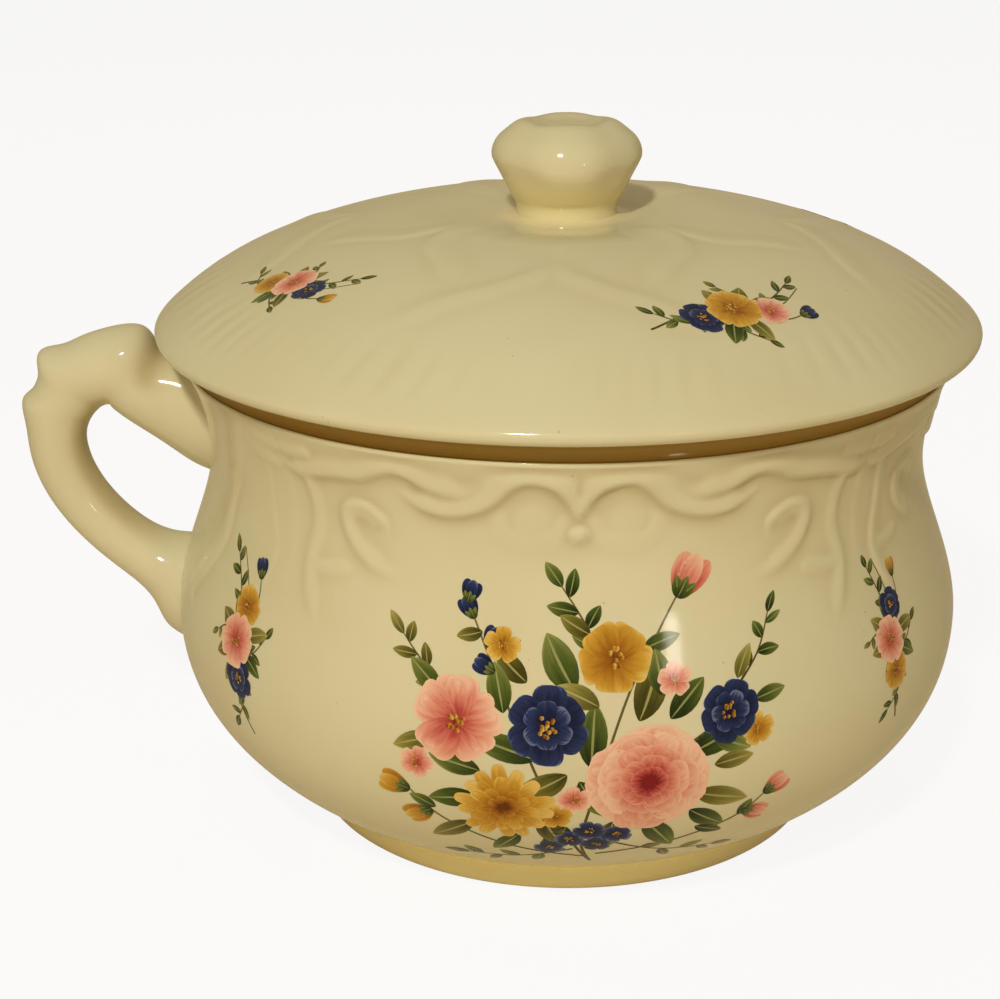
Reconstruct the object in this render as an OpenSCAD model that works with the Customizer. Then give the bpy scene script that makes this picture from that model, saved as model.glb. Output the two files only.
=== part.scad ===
// Covered chamber pot in glazed earthenware: a bellied pot on a foot ring, with an ear handle,
// a scroll border in relief round the neck, and a loose domed lid with a lobed knob.
// Millimetres. The origin is the centre of the foot ring, on the table. +Z is up,
// the handle points along -X and the front of the pot faces -Y.

/* [Pot] */
// Height of the rim above the table
pot_h = 142; // [128:1:165]
// Radius of the foot ring where it meets the table
foot_r = 76.5; // [65:0.5:84]
// Height of the foot ring
foot_h = 7.5; // [5:0.5:11]
// Width of the face that the foot ring rests on
foot_w = 8; // [5:0.5:14]
// Depth of the hollow inside the foot ring
foot_hollow = 4; // [2:0.5:6]
// How far the wall stands out over the top of the foot ring
foot_step = 1.2; // [0.5:0.1:3]
// Outward slope of the wall where it leaves the foot ring
foot_flare = 1.7; // [1.2:0.1:2.2]
// Radius of the belly at its widest
belly_r = 115.4; // [108:0.2:130]
// Height of the belly at its widest
belly_z = 61; // [50:1:72]
// Radius of the neck at its narrowest
neck_r = 103.6; // [95:0.2:112]
// Height of the neck at its narrowest
neck_z = 110; // [104:1:116]
// Radius that the flared wall reaches at the full height
rim_r = 113; // [108:0.2:125]
// Outward slope of the wall at the rim
rim_flare = 0.56; // [0.3:0.02:0.7]
// Rounding of the rim's edges
rim_round = 1.6; // [0.8:0.1:2.2]
// Height of the set-back ring on which the lid stands, above the rim's shoulder
ledge_h = 4.5; // [2:0.5:6]
// Thickness of that ring at its top
ledge_t = 2.6; // [2:0.2:3.6]
// Thickness of the wall
wall = 6; // [5:0.2:8]
// Thickness of the floor
floor_t = 6.5; // [4:0.5:10]

/* [Lid] */
// How far the lid's edge stands out over the rim
lid_overhang = 4; // [2:0.2:8]
// Height of the rolled edge
lid_edge_h = 10; // [8:0.5:14]
// Width of the rolled edge's round underside
lid_edge_w = 5; // [2:0.5:6]
// Height of the widest line above the underside
lid_edge_z = 5.5; // [4:0.5:7]
// Rise of the dome above the rolled edge
dome_h = 25.2; // [14:0.2:34]
// Slope of the dome at the rolled edge
dome_slope = 0.62; // [0.4:0.02:0.8]
// Thickness of the dome
lid_wall = 6; // [4:0.2:8]
// Depth of the flange that keeps the lid on the pot
flange_h = 8; // [4:0.5:12]
// Thickness of the flange
flange_t = 5; // [3:0.5:8]
// Clearance between the flange and the pot's inner wall
flange_clear = 1.2; // [0.6:0.1:3]

/* [Knob] */
// Radius of the knob at its widest
knob_r = 21.2; // [18:0.1:26]
// Height of the knob
knob_h = 23.8; // [20:0.2:32]
// Radius of the stem
stem_r = 14.2; // [10:0.1:16]
// Height of the stem below the cup
stem_h = 1.5; // [1:0.5:6]
// Reach of the fillet at the stem's foot
stem_fillet = 2.4; // [2:0.2:5]
// Number of lobes round the knob
lobes = 4; // [3:1:8]
// Depth of the dips between the lobes
lobe_dip = 1.6; // [0.5:0.1:2.4]
// Depth of the dish in the knob's top
knob_dish = 1.4; // [0.6:0.2:3]

/* [Handle] */
// How far below the rim the upper arm meets the neck
upper_drop = 24.6; // [21:0.1:28]
// Height of the upper arm's flared end
upper_h = 40.8; // [30:0.2:42]
// Width of the upper arm's flared end
upper_w = 34; // [26:1:40]
// Distance from the lid's edge out to the crown of the handle
crown_out = 15.2; // [14:0.2:22]
// How far the centre line at the crown lies below the rim
crown_drop = 12; // [11:0.2:18]
// Thickness at the crown
crown_t = 22.4; // [18:0.2:25]
// How far the thumb rest stands up next to the lid
thumb_rise = 2.5; // [1:0.1:3]
// Distance from the lid's edge out to the middle of the grip
grip_out = 33.2; // [29:0.2:42]
// How far the middle of the grip lies below the rim
grip_drop = 33.8; // [30:0.2:40]
// Thickness of the grip, seen from the side
grip_t = 16.6; // [14:0.2:20]
// Width of the grip, seen from outside
grip_w = 19; // [14:0.5:24]
// Height where the lower arm meets the belly
lower_z = 62; // [56:1:70]
// Height of the lower arm's flared end
lower_h = 29.8; // [26:0.2:38]
// Width of the lower arm's flared end
lower_w = 30; // [24:1:36]
// Length over which the ends flare out
flare_len = 4; // [3.5:0.5:8]
// How far the heel of the lower arm runs down the belly
heel = 8.4; // [2:0.2:10]
// How far the leaf tips stand out of the handle
leaf_tip = 4.2; // [1:0.1:4.4]

/* [Scroll border] */
// From the rim down to the middle of the highest scroll
border_gap = 10.6; // [8:0.2:15]
// From the neck down to the lowest leaf tip
border_drop = 23; // [16:0.5:30]
// Width of a scroll
scroll_w = 3.8; // [2.6:0.1:4.2]
// How far a scroll stands out of the wall
scroll_h = 1.5; // [0.6:0.1:2.2]
// Radius of the bead below the middle of a panel
bead_r = 2.2; // [1.4:0.1:2.6]
// Joint between the wall and what is luted to it
luting_gap = 0.06; // [0.05:0.01:0.1]

/* [Hidden] */
$fn = 144;

glaze = [0.87, 0.80, 0.60];
glaze_edge = [0.84, 0.77, 0.56];

// Curves shared by the pieces
function hermite(t, a, b, slope_a, slope_b) =
    a * (2 * t ^ 3 - 3 * t ^ 2 + 1) + slope_a * (t ^ 3 - 2 * t ^ 2 + t)
    + b * (3 * t ^ 2 - 2 * t ^ 3) + slope_b * (t ^ 3 - t ^ 2);
function quarter(from, corner, to, steps) = [
    for (i = [0 : steps])
        let (t = i / steps)
        from * (1 - t) ^ 2 + corner * 2 * t * (1 - t) + to * t ^ 2
];
function spline(points, t) =
    let (i = min(floor(t), len(points) - 2), f = t - i)
    let (a = points[max(i - 1, 0)], b = points[i], c = points[i + 1])
    let (d = points[min(i + 2, len(points) - 1)])
    0.5 * (2 * b + (c - a) * f + (2 * a - 5 * b + 4 * c - d) * f ^ 2 + (3 * b - a - 3 * c + d) * f ^ 3);

// Outer face of the pot's wall, from the foot ring through belly and neck to the rim
wall_steps = 14;
base_r = foot_r + foot_step;
low_rise = belly_z - foot_h;
mid_rise = neck_z - belly_z;
top_rise = pot_h - neck_z;
function wall_r(z) =
    z < belly_z ? hermite((z - foot_h) / low_rise, base_r, belly_r, foot_flare * low_rise, 0)
    : z < neck_z ? hermite((z - belly_z) / mid_rise, belly_r, neck_r, 0, 0)
    : hermite((z - neck_z) / top_rise, neck_r, rim_r, 0, rim_flare * top_rise);
slope_step = 0.05;
function wall_slope(z) = (wall_r(z + slope_step) - wall_r(z - slope_step)) / (2 * slope_step);
function inner_r(z) = wall_r(z) - wall * sqrt(1 + wall_slope(z) ^ 2);
function rising(low, high, steps, first = 0) = [for (i = [first : steps]) low + (high - low) * i / steps];
ledge_z = pot_h - ledge_h;
wall_levels = concat(
    rising(foot_h, belly_z, wall_steps),
    rising(belly_z, neck_z, wall_steps, 1),
    rising(neck_z, ledge_z - rim_round, wall_steps, 1)
);

// Inside of the pot: a flat floor that turns up into the wall
floor_z = foot_hollow + floor_t;
well_rise = 7;
well_z = floor_z + well_rise;
well_r = inner_r(floor_z) - well_rise;
foot_round = 1;
rim_top_in = inner_r(pot_h) + rim_round;
ledge_r = inner_r(pot_h) + ledge_t;
ledge_round = 0.6;
round_steps = 5;

// Lid sizes that follow from the rim
lid_r = rim_r + lid_overhang;
lid_seat_r = lid_r - lid_edge_w;
edge_roll = 3;
dome_r = lid_r - edge_roll;
dome_z = pot_h + lid_edge_h;
dome_top = dome_z + dome_h;
seat_margin = 1;
knob_seat_r = stem_r + stem_fillet + seat_margin;
flange_r = inner_r(pot_h - flange_h) - flange_clear;
flange_in = flange_r - flange_t;
dome_steps = 28;
function dome_height(r) =
    r < knob_seat_r ? dome_top
    : let (run = dome_r - knob_seat_r)
    hermite((r - knob_seat_r) / run, dome_top, dome_z, 0, -dome_slope * run);

// Solid inside the outer face of the wall, grown by a gap
module pot_envelope(gap) {
    rotate_extrude()
        polygon(concat(
            [[0, 0], [foot_r + gap, 0]],
            [for (z = wall_levels) [wall_r(z) + gap, z]],
            [[rim_r + gap, pot_h], [0, pot_h]]
        ));
}

module pot_body() {
    foot_in = foot_r - foot_w;
    color(glaze)
        rotate_extrude()
            polygon(concat(
                [[0, foot_hollow], [foot_in - foot_hollow, foot_hollow], [foot_in, 0]],
                quarter([foot_r - foot_round, 0], [foot_r, 0], [foot_r, foot_round], round_steps),
                [[foot_r, foot_h - foot_round], [foot_r - foot_round / 2, foot_h]],
                [for (z = wall_levels) [wall_r(z), z]],
                quarter([wall_r(ledge_z - rim_round), ledge_z - rim_round], [wall_r(ledge_z), ledge_z],
                        [wall_r(ledge_z) - rim_round, ledge_z], round_steps),
                [[ledge_r, ledge_z]],
                quarter([ledge_r, pot_h - ledge_round], [ledge_r, pot_h], [ledge_r - ledge_round, pot_h], round_steps),
                quarter([rim_top_in, pot_h], [inner_r(pot_h), pot_h],
                        [inner_r(pot_h - rim_round), pot_h - rim_round], round_steps),
                [for (i = [len(wall_levels) - 1 : -1 : 0])
                    let (z = wall_levels[i])
                    if (z > well_z && z < pot_h - rim_round) [inner_r(z), z]],
                quarter([inner_r(well_z), well_z], [inner_r(floor_z), floor_z], [well_r, floor_z], round_steps),
                [[0, floor_z]]
            ));
}

// Closed skin over a row of rings that all have the same number of points
function skin_faces(rings, sides, first = 0) =
    let (last = first + (rings - 1) * sides)
    concat(
        [for (i = [0 : rings - 2], j = [0 : sides - 1])
            let (a = first + i * sides + j, b = first + i * sides + (j + 1) % sides)
            each [[a, a + sides, b], [b, a + sides, b + sides]]],
        [for (j = [1 : sides - 2]) [first, first + j, first + j + 1]],
        [for (j = [1 : sides - 2]) [last, last + j + 1, last + j]]
    );

module skin(rings) {
    polyhedron([for (ring = rings) each ring], skin_faces(len(rings), len(rings[0])));
}

// Handle: a centre line in the XZ plane through the root on the neck, the crown, the grip and the
// root on the belly, with an oval section that flares at both ends
handle_sides = 22;
handle_rings = 54;
// How deep the ends of the centre line lie inside the wall's outer face
upper_bury = 5;
lower_bury = 10;
upper_z = pot_h - upper_drop;
upper_end = [wall_r(upper_z) - upper_bury, upper_z];
crown = [lid_r + crown_out, pot_h - crown_drop];
grip = [lid_r + grip_out, pot_h - grip_drop];
lower_end = [wall_r(lower_z) - lower_bury, lower_z];
upper_pull = [40, -4.2];
crown_pull_in = [19.4, 0];
crown_pull_out = [31.2, 0];
grip_pull_in = [0, -33];
grip_pull_out = [0, -65.2];
lower_pull = [-49.5, -9.4];
function handle_line(u) =
    u < 1 ? hermite(u, upper_end, crown, upper_pull, crown_pull_in)
    : u < 2 ? hermite(u - 1, crown, grip, crown_pull_out, grip_pull_in)
    : hermite(u - 2, grip, lower_end, grip_pull_out, lower_pull);
arm_swell = 1.9;
arm_sizes = [
    [crown_t / 2 + arm_swell, grip_w / 2 + 2 * arm_swell],
    [crown_t / 2 + arm_swell, grip_w / 2 + arm_swell],
    [crown_t / 2, grip_w / 2 + arm_swell],
    [(crown_t + grip_t) / 4, grip_w / 2],
    [grip_t / 2, grip_w / 2],
    [grip_t / 2 - arm_swell / 4, grip_w / 2],
    [grip_t / 2, grip_w / 2 + arm_swell]
];
stations_per_part = 2;
function flare(u) =
    let (p = handle_line(u))
    let (upper = exp(-max(0, norm(p - upper_end) - upper_bury) / flare_len))
    let (lower = exp(-max(0, norm(p - lower_end) - lower_bury) / flare_len))
    let (size = spline(arm_sizes, u * stations_per_part))
    size + ([upper_h, upper_w] / 2 - size) * upper + ([lower_h, lower_w] / 2 - size) * lower;

// Swellings on the outside of the handle: the thumb rest, two leaf tips between crown and grip, and
// the heel. Each has a place along the handle, a spread and a height.
swellings = [
    [0.85, 0.13, thumb_rise], [1.43, 0.08, leaf_tip], [1.74, 0.08, 0.52 * leaf_tip], [3, 0.16, heel]
];
swelling_point = 2.5;
function swollen(u) =
    [for (w = swellings) w[2]] * [for (w = swellings) exp(-((u - w[0]) / w[1]) ^ 2)];
function tips(u, side) = max(0, cos(side)) ^ swelling_point * swollen(u);
function handle_ring(u) =
    let (e = 0.001, last = 3 - e)
    let (v = min(max(u, e), last))
    let (way = handle_line(v + e) - handle_line(v - e))
    let (out = [-way[1], way[0]] / norm(way), at = handle_line(v), size = flare(v))
    [for (i = [0 : handle_sides - 1])
        let (side = 360 * i / handle_sides)
        let (reach = size[0] * cos(side) + tips(v, side))
        let (p = at + out * reach)
        [-p[0], size[1] * sin(side), p[1]]];

module handle() {
    color(glaze_edge)
        difference() {
            skin([for (i = [0 : handle_rings]) handle_ring(3 * i / handle_rings)]);
            pot_envelope(luting_gap);
        }
}

// Scroll border: strands of half-round section on the wall. A point is an angle from the middle
// of its panel, in degrees, and a height above the neck. Every strand is mirrored in its panel.
wave_low = [[1.6, 15], [3.8, 18.6], [7, 20.4], [10.2, 17.2], [13, 11.8], [17, 8.9], [20.6, 10], [23.4, 13]];
wave_high = [
    [11.4, 21.4], [14, 18.2], [17.4, 15.6], [21.4, 16.6], [25, 20.2], [28, 20.8],
    [31.4, 17.4], [35, 14.6], [38.2, 15]
];
volute = [[1.6, 11.6], [2.6, 6.6], [5.6, 3.2], [9, 4], [10.4, 8.2], [8.8, 12.6], [6, 13], [5.4, 9.6]];
c_scroll = [
    [30.6, 1.6], [28.8, 3.6], [29.4, 7], [32, 8.4], [35, 6], [36, 0.6],
    [34.4, -5.2], [30.6, -9.4], [26, -10.2]
];
long_leaf = [[42.8, 20.6], [41.2, 12], [39.8, 2], [41.2, -8], [40.8, -16], [38.8, -23]];
tie = [[33.8, -10.6], [36, -12.6], [38.4, -12]];
spine = [[45, 16], [45, 8], [45, -2], [45, -12]];
half_panel = [volute, wave_low, wave_high, c_scroll, long_leaf, tie];
// At the handle the strands stop short of the flared end of its upper arm
handle_half_panel = [
    [for (i = [4 : len(wave_low) - 1]) wave_low[i]],
    [for (i = [1 : len(wave_high) - 1]) wave_high[i]],
    c_scroll, long_leaf, tie
];
panel_middles = [-90, 0, 90, 180];
handle_middle = 180;
strand_steps = 2;
end_width = 0.25;
taper_end = 0.004;

// The drawn heights are fitted between the plain band under the rim and the lowest leaf tips
drawn_heights = [for (s = half_panel, p = s) p[1]];
drawn_rise = max(drawn_heights);
drawn_drop = -min(drawn_heights);
border_rise = top_rise - border_gap;
bead_middle = [0, 5.4];
bead_half = [0, bead_r * drawn_rise / border_rise];
bead = [bead_middle - bead_half, bead_middle + bead_half];
function border_z(y) = neck_z + (y > 0 ? y * border_rise / drawn_rise : y * border_drop / drawn_drop);
function on_wall(angle, z, lift) =
    let (m = wall_slope(z), k = sqrt(1 + m ^ 2), r = wall_r(z) + lift / k)
    [r * cos(angle), r * sin(angle), z - lift * m / k];
// Across a strand: how far to the side, as a share of the half width, and how high
section = [[-1, 0], [-0.62, 0.74], [0, 1], [0.62, 0.74], [1, 0]];
function strand_ring(points, t, half_w, rise, middle, hand) =
    let (e = 0.01, last = len(points) - 1)
    let (v = min(max(t, e), last - e), p = spline(points, t))
    let (q = spline(points, v + e) - spline(points, v - e))
    let (z = border_z(p[1]), slant = sqrt(1 + wall_slope(z) ^ 2), degree = wall_r(z) * PI / 180)
    let (along = [q[0] * degree, (border_z(p[1] + q[1]) - z) * slant])
    let (across = [-along[1], along[0]] / norm(along))
    [for (s = section)
        let (side = -s[0] * half_w * hand)
        on_wall(middle + hand * (p[0] + side * across[0] / degree),
                z + side * across[1] / slant, luting_gap + s[1] * rise)];
function taper(t, last) =
    let (share = min(max(t / last, taper_end), 1 - taper_end))
    end_width + (1 - end_width) * sqrt(sin(180 * share));
function strand(points, middle, hand) =
    let (last = len(points) - 1, rings = last * strand_steps)
    [for (i = [0 : rings])
        let (t = i / strand_steps, w = taper(t, last))
        strand_ring(points, t, scroll_w / 2 * w, scroll_h * w, middle, hand)];
bead_steps = 6;
bead_end = 0.02;
function bead_strand(middle) =
    [for (i = [0 : bead_steps])
        let (t = i / bead_steps, w = sqrt(max(bead_end, 1 - (2 * t - 1) ^ 2)))
        strand_ring(bead, t, bead_r * w, scroll_h * w, middle, 1)];

strands = concat(
    [for (middle = panel_middles, hand = [-1, 1])
        each [for (s = middle == handle_middle ? handle_half_panel : half_panel) strand(s, middle, hand)]],
    [for (middle = panel_middles) strand(spine, middle, 1)],
    [for (middle = panel_middles) if (middle != handle_middle) bead_strand(middle)]
);
function total(counts, n) = n == 0 ? 0 : counts[n - 1] + total(counts, n - 1);

module scroll_border() {
    sides = len(section);
    sizes = [for (s = strands) len(s)];
    color(glaze_edge)
        polyhedron(
            [for (s = strands, ring = s) each ring],
            [for (i = [0 : len(strands) - 1]) each skin_faces(sizes[i], sides, sides * total(sizes, i))]
        );
}

module lid() {
    run = rising(knob_seat_r, dome_r, dome_steps);
    inside = rising(0, flange_in, dome_steps);
    color(glaze)
        rotate_extrude()
            polygon(concat(
                [[0, dome_top - lid_wall]],
                [for (r = inside) if (r > knob_seat_r)
                    let (slope = (dome_height(r + slope_step) - dome_height(r - slope_step)) / (2 * slope_step))
                    [r, dome_height(r) - lid_wall * sqrt(1 + slope ^ 2)]],
                [[flange_in, pot_h - flange_h], [flange_r, pot_h - flange_h], [flange_r, pot_h]],
                quarter([lid_seat_r, pot_h], [lid_r, pot_h], [lid_r, pot_h + lid_edge_z], round_steps),
                quarter([lid_r, pot_h + lid_edge_z], [lid_r, dome_z - dome_slope * (lid_r - dome_r)],
                        [dome_r, dome_z], round_steps),
                [for (i = [len(run) - 2 : -1 : 0]) [run[i], dome_height(run[i])]],
                [[0, dome_top]]
            ));
}

// Knob: a stem with a fillet, opening like a cup into soft lobes round a shallow dish.
// A point is a radius, a height and how much of the lobes shows there.
cup_h = knob_h - stem_h;
cup_w = knob_r - stem_r;
knob_line = [
    [stem_r + stem_fillet, 0, 0],
    [stem_r + 0.3 * stem_fillet, 0.4 * stem_h, 0],
    [stem_r, stem_h, 0],
    [stem_r + 0.44 * cup_w, stem_h + 0.15 * cup_h, 0.1],
    [stem_r + 0.75 * cup_w, stem_h + 0.33 * cup_h, 0.4],
    [stem_r + 0.93 * cup_w, stem_h + 0.48 * cup_h, 0.8],
    [knob_r, stem_h + 0.62 * cup_h, 1],
    [0.93 * knob_r, stem_h + 0.76 * cup_h, 1],
    [0.81 * knob_r, stem_h + 0.88 * cup_h, 0.9],
    [0.68 * knob_r, stem_h + 0.97 * cup_h, 0.6],
    [0.54 * knob_r, knob_h, 0.4],
    [0.32 * knob_r, knob_h - 0.65 * knob_dish, 0.3],
    [0.04 * knob_r, knob_h - knob_dish, 0]
];
knob_sides = 36;
knob_steps = 2;

module lid_knob() {
    last = (len(knob_line) - 1) * knob_steps;
    color(glaze_edge)
        translate([0, 0, dome_top])
            skin([for (i = [0 : last])
                let (p = spline(knob_line, i / knob_steps))
                [for (j = [0 : knob_sides - 1])
                    let (angle = 360 * j / knob_sides)
                    let (r = p[0] - lobe_dip * max(0, p[2]) * (1 - cos(lobes * angle)) / 2)
                    [r * cos(angle), r * sin(angle), max(0, p[1])]]]);
}

pot_body();
handle();
scroll_border();
lid();
lid_knob();
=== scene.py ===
"""Looks of the covered chamber pot: glazed surfaces with moulded relief, and printed flower sprays."""

import bpy
import numpy as np
from mathutils import Matrix


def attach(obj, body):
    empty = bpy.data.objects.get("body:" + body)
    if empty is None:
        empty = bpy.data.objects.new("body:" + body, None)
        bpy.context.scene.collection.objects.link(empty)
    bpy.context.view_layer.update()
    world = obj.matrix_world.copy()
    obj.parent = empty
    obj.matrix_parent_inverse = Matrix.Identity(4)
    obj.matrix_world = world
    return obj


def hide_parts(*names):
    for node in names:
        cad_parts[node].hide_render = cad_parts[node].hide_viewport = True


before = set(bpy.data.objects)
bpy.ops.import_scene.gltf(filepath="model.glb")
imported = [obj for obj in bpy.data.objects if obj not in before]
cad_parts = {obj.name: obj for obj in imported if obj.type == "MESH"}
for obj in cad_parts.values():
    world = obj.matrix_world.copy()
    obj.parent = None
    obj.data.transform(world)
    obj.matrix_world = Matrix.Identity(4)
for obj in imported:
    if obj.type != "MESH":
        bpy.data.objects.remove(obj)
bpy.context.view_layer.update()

# Sizes in millimetres, the same as in the part's source, but for LEDGE_H: the gap that shows under the
# lid is a little taller than the solid's. An angle of 0 is the front, -Y, and grows towards +X, so the
# handle is at -90.
MM = 0.001
POT_H, WALL = 142.0, 6.0
FOOT_R, FOOT_H, FOOT_STEP, FOOT_FLARE, FOOT_HOLLOW = 76.5, 7.5, 1.2, 1.7, 4.0
FLOOR_T, WELL_RISE = 6.5, 7.0
BELLY_R, BELLY_Z = 115.4, 61.0
NECK_R, NECK_Z = 103.6, 110.0
RIM_R, RIM_FLARE, RIM_ROUND = 113.0, 0.56, 1.6
LEDGE_H, LEDGE_T, LEDGE_ROUND = 5.5, 2.6, 0.6
LID_OVERHANG, LID_EDGE_H, LID_EDGE_W, LID_EDGE_ROLL, LID_WALL = 4.0, 10.0, 5.0, 3.0, 6.0
DOME_H, DOME_SLOPE, KNOB_SEAT_R = 25.2, 0.62, 17.6
FLANGE_H, FLANGE_T, FLANGE_CLEAR = 8.0, 5.0, 1.2
FLOOR_Z, LEDGE_Z = FOOT_HOLLOW + FLOOR_T, POT_H - LEDGE_H
LID_R = RIM_R + LID_OVERHANG
DOME_R, DOME_Z = LID_R - LID_EDGE_ROLL, POT_H + LID_EDGE_H
DOME_TOP = DOME_Z + DOME_H


def hermite(t, a, b, slope_a, slope_b):
    """Cubic from a to b with the given end slopes."""
    return (a * (2 * t**3 - 3 * t**2 + 1) + slope_a * (t**3 - 2 * t**2 + t)
            + b * (3 * t**2 - 2 * t**3) + slope_b * (t**3 - t**2))


def smooth(t):
    """Soft step from 0 to 1."""
    t = np.clip(t, 0.0, 1.0)
    return t * t * (3 - 2 * t)


def rise(values, start, spread):
    """Soft step up over a spread from the start."""
    return smooth((values - start) / spread)


def spline(points, t):
    """Catmull-Rom curve through points at the parameters t, one unit for each span."""
    p = np.asarray(points, float)
    i = np.minimum(np.floor(t).astype(int), len(p) - 2)
    f = (t - i)[:, None]
    a, b, c = p[np.maximum(i - 1, 0)], p[i], p[i + 1]
    d = p[np.minimum(i + 2, len(p) - 1)]
    return 0.5 * (2 * b + (c - a) * f + (2 * a - 5 * b + 4 * c - d) * f**2
                  + (3 * b - a - 3 * c + d) * f**3)


def arc(start, corner, end, steps):
    """Quadratic curve that rounds a corner."""
    t = np.linspace(0, 1, steps + 1)[:, None]
    return np.array(start) * (1 - t)**2 + np.array(corner) * 2 * t * (1 - t) + np.array(end) * t**2


def wall_r(z):
    """Outer radius of the wall at height z."""
    z = np.asarray(z, float)
    low, mid, top = BELLY_Z - FOOT_H, NECK_Z - BELLY_Z, POT_H - NECK_Z
    return np.where(
        z < BELLY_Z, hermite((z - FOOT_H) / low, FOOT_R + FOOT_STEP, BELLY_R, FOOT_FLARE * low, 0),
        np.where(z < NECK_Z, hermite((z - BELLY_Z) / mid, BELLY_R, NECK_R, 0, 0),
                 hermite((z - NECK_Z) / top, NECK_R, RIM_R, 0, RIM_FLARE * top)))


def wall_slope(z):
    """Change of the outer radius with height."""
    return (wall_r(z + 0.05) - wall_r(z - 0.05)) / 0.1


def inner_r(z):
    """Inner radius of the wall, which has the same thickness all over."""
    return wall_r(z) - WALL * np.sqrt(1 + wall_slope(z)**2)


def dome_z(r):
    """Height of the lid's upper face at radius r."""
    r = np.asarray(r, float)
    run = DOME_R - KNOB_SEAT_R
    return np.where(r < KNOB_SEAT_R, DOME_TOP,
                    hermite((r - KNOB_SEAT_R) / run, DOME_TOP, DOME_Z, 0, -DOME_SLOPE * run))


# Relief: each strand is a ridge with a steep and a gentle side
PANEL = 45.0
MM_PER_DEGREE = 1.86
TO_MM = np.array([MM_PER_DEGREE, 1.0])
# Share of a ridge's length that tapers, shares of its width and height that are left at its ends, and
# the power that hollows its gentle side
TAPER, END_WIDTH, END_HEIGHT, HOLLOWED = 0.16, 0.45, 0.25, 1.4
SPAN_STEPS = 10


def ridge(x, y, points, steep, gentle, height):
    """Height field of a ridge along points. The steep side is on the right of its direction."""
    n = (len(points) - 1) * SPAN_STEPS
    line = spline(points, np.linspace(0, len(points) - 1, n + 1))
    a, b = line[:-1], line[1:]
    way = b - a
    length = np.linalg.norm(way, axis=1)
    px, py = x[..., None] - a[:, 0], y[..., None] - a[:, 1]
    t = np.clip((px * way[:, 0] + py * way[:, 1]) / length**2, 0, 1)
    dx, dy = px - t * way[:, 0], py - t * way[:, 1]
    dist = np.hypot(dx, dy)
    best = dist.argmin(axis=-1)[..., None]

    def pick(values):
        return np.take_along_axis(values, best, axis=-1)[..., 0]

    side = pick(way[:, 0] * dy - way[:, 1] * dx)
    share = (best[..., 0] + pick(t)) / n
    taper = smooth(share / TAPER) * smooth((1 - share) / TAPER)
    reach = np.where(side < 0, steep, gentle) * (END_WIDTH + (1 - END_WIDTH) * taper)
    fall = 0.5 + 0.5 * np.cos(np.pi * np.clip(pick(dist) / reach, 0, 1))
    return height * (END_HEIGHT + (1 - END_HEIGHT) * taper) * np.where(side < 0, fall, fall**HOLLOWED)


# A point is an angle from the middle of the panel, in degrees, and a height above the neck
WAVE_LOW = [(0.5, 12.0), (1.5, 16.0), (3.5, 19.6), (6.8, 20.9), (9.3, 18.6), (11.3, 14.8), (13.6, 12.0),
            (16.8, 10.2), (19.8, 10.2), (22.3, 11.6), (24.2, 13.8)]
WAVE_HIGH = [(12.8, 18.6), (15.6, 16.0), (18.6, 16.2), (21.0, 17.4), (23.2, 19.8), (25.2, 20.6),
             (27.6, 19.4), (30.8, 17.0), (34.6, 16.2), (38.2, 15.2), (41.2, 14.0), (43.4, 14.2),
             (45.0, 16.0)]
NOTCH = [(-0.6, 10.0), (0.4, 12.6), (1.3, 15.6), (3.0, 19.2), (5.2, 20.8)]
PLUME = [(38.6, 20.6), (41.0, 19.6), (43.4, 19.2), (45.2, 19.8)]
VOLUTE = [(9.4, 13.2), (10.6, 9.4), (9.4, 5.4), (6.4, 3.6), (3.6, 5.4), (2.4, 9.0), (1.4, 12.4)]
C_SCROLL = [(26.0, -8.6), (28.8, -7.6), (31.2, -5.4), (33.1, -2.4), (34.2, 1.0), (34.6, 4.8), (33.6, 8.0),
            (31.4, 9.2), (29.2, 7.8), (27.6, 5.0), (27.4, 2.2)]
LONG_LEAF = [(38.6, -23.4), (40.6, -17.0), (41.4, -9.0), (40.0, 1.0), (40.6, 11.0), (42.4, 18.0)]
SPINE = [(45.0, -13.0), (45.0, -3.0), (45.0, 7.0), (45.0, 13.0)]
TIE = [(33.4, -9.2), (36.2, -10.4), (38.8, -10.8), (40.6, -10.2)]
# Points, reach of the steep and of the gentle side, and height
STRANDS = [
    (WAVE_LOW, 1.3, 9.5, 1.0), (NOTCH, 1.3, 6.5, 0.95), (WAVE_HIGH, 1.3, 8.0, 0.9),
    (PLUME, 1.3, 5.5, 0.6), (VOLUTE, 2.4, 4.6, 0.2), (C_SCROLL, 1.5, 6.5, 0.7),
    (LONG_LEAF, 1.6, 6.0, 0.45), (SPINE, 3.4, 3.4, 0.12), (TIE, 1.5, 4.0, 0.4),
]
VOLUTE_X, VOLUTE_Y, VOLUTE_R, VOLUTE_H = 6.4, 8.6, 7.0, 0.35
BEAD_Y, BEAD_R, BEAD_H = 6.0, 2.4, 1.1
# The backing leaf of the handle, seen on both sides of it, where the border fades out
BACKING = [(20.6, -38.0), (19.2, -34.0), (22.4, -27.0), (26.4, -16.0), (27.0, -8.0), (28.0, -2.0),
           (30.8, 4.0)]
BACKING_STEEP, BACKING_GENTLE, BACKING_H, BACKING_END = 3.0, 9.0, 0.4, 50.0
HANDLE_ANGLE, BORDER_END, BORDER_FADE = -90.0, 34.0, 20.0


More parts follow.
